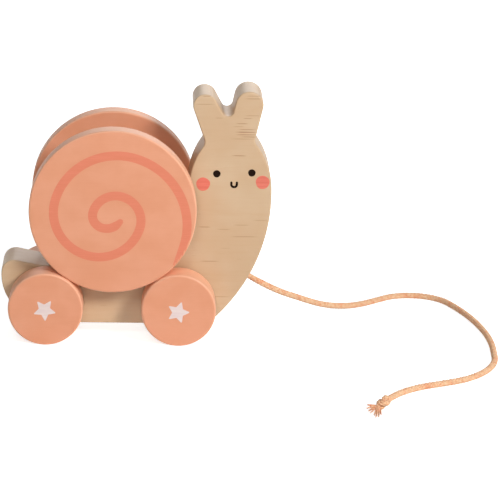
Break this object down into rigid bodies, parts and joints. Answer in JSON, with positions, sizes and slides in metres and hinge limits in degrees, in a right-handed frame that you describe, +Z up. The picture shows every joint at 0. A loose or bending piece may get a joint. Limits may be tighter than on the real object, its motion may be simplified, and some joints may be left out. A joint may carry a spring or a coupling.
{
  "type": "pull along toy",
  "caption": "Wooden pull-along snail: slab body with horns on wheels, a disc shell each side that the wheels turn by their rims, and a knotted pull cord.",
  "frame": {"origin": "on the flat underside of the body, half way between the wheel axles and between the two faces of the slab; the floor is 8.5 mm below it", "axes": "+X is the way the toy is pulled, +Y its left side, +Z up"},
  "size_m": [0.2996, 0.2154, 0.154],
  "materials": {
    "bare_wood": "sanded light hardwood, clear matte oil",
    "painted_wood": "wood with a thin satin salmon-pink stain, printed decoration",
    "dowel_wood": "plain turned dowel, unfinished",
    "cord": "braided cotton, peach, matte"
  },
  "bodies": {
    "body": {"body": "bare_wood", "cord_plug": "dowel_wood", "cord_anchor": "cord"},
    "shell": {"shell_axle": "dowel_wood", "shell_disc_left": "painted_wood", "shell_disc_right": "painted_wood"},
    "front_wheelset": {"front_axle": "dowel_wood", "wheel_front_left": "painted_wood", "wheel_front_right": "painted_wood"},
    "rear_wheelset": {"rear_axle": "dowel_wood", "wheel_rear_left": "painted_wood", "wheel_rear_right": "painted_wood"},
    "cord_lead": {"cord_lead": "cord"},
    "cord_drop": {"cord_drop": "cord"},
    "cord_far_bend": {"cord_far_bend": "cord"},
    "cord_far_side": {"cord_far_side": "cord"},
    "cord_near_side": {"cord_near_side": "cord"},
    "cord_near_bend": {"cord_near_bend": "cord"},
    "cord_tail": {"cord_tail": "cord"}
  },
  "joints": [
    {"name": "shell_spin", "type": "hinge", "parent": "body", "child": "shell", "pos_m": [0, 0, 0.07459], "axis": [0, 1, 0], "continuous": true},
    {"name": "front_axle_spin", "type": "hinge", "parent": "body", "child": "front_wheelset", "pos_m": [0.04, 0, 0.014], "axis": [0, 1, 0], "continuous": true},
    {"name": "rear_axle_spin", "type": "hinge", "parent": "body", "child": "rear_wheelset", "pos_m": [-0.04, 0, 0.014], "axis": [0, 1, 0], "continuous": true},
    {"name": "cord_swing", "type": "hinge", "parent": "body", "child": "cord_lead", "pos_m": [0.08429, 0, 0.02596], "axis": [0, 0, 1], "range_deg": [-50, 20]},
    {"name": "cord_lift", "type": "hinge", "parent": "cord_lead", "child": "cord_drop", "pos_m": [0.10848, 0.00834, 0.01216], "axis": [0, -1, 0], "range_deg": [0, 50]},
    {"name": "cord_bend_1", "type": "hinge", "parent": "cord_drop", "child": "cord_far_bend", "pos_m": [0.16266, 0.05282, -0.00677], "axis": [0, 0, 1], "range_deg": [-30, 30]},
    {"name": "cord_bend_2", "type": "hinge", "parent": "cord_far_bend", "child": "cord_far_side", "pos_m": [0.21281, 0.05158, -0.00677], "axis": [0, 0, 1], "range_deg": [-30, 30]},
    {"name": "cord_bend_3", "type": "hinge", "parent": "cord_far_side", "child": "cord_near_side", "pos_m": [0.2274, 0.00578, -0.00677], "axis": [0, 0, 1], "range_deg": [-30, 30]},
    {"name": "cord_bend_4", "type": "hinge", "parent": "cord_near_side", "child": "cord_near_bend", "pos_m": [0.23037, -0.03701, -0.00677], "axis": [0, 0, 1], "range_deg": [-30, 30]},
    {"name": "cord_bend_5", "type": "hinge", "parent": "cord_near_bend", "child": "cord_tail", "pos_m": [0.19865, -0.09555, -0.00677], "axis": [0, 0, 1], "range_deg": [-30, 30]}
  ],
  "couplings": [
    {"joint": "front_axle_spin", "follows": "shell_spin", "ratio": -2.2222},
    {"joint": "rear_axle_spin", "follows": "shell_spin", "ratio": -2.2222}
  ]
}
